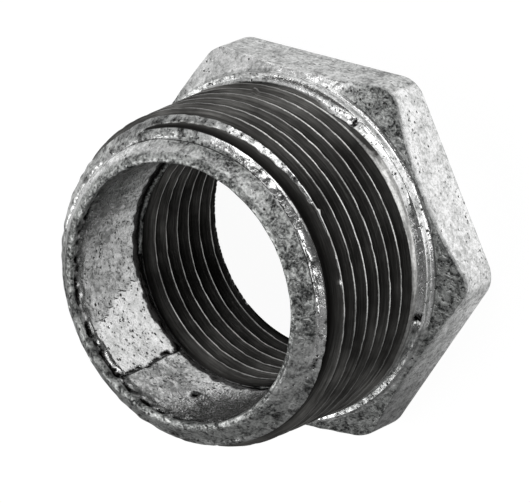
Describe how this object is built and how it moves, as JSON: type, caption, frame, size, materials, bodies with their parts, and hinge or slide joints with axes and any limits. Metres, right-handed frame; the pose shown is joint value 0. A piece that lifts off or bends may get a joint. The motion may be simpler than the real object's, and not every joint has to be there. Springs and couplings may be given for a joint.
{
  "type": "hexagon reducing bushing",
  "caption": "Cast hexagon reducing bushing: outer taper pipe thread on a rounded nose, inner parallel pipe thread from the hexagon end.",
  "frame": {"origin": "centre of the hexagon's end face, at the mouth of the inner thread", "axes": "+Z along the bore axis towards the nose; +Y is the outward normal of one flat of the hexagon"},
  "size_m": [0.0508, 0.045, 0.0295],
  "materials": {
    "galvanised_iron": "hot-dip galvanised casting with dark oiled cut threads"
  },
  "bodies": {
    "root": {"bushing_body": "galvanised_iron"}
  },
  "joints": []
}
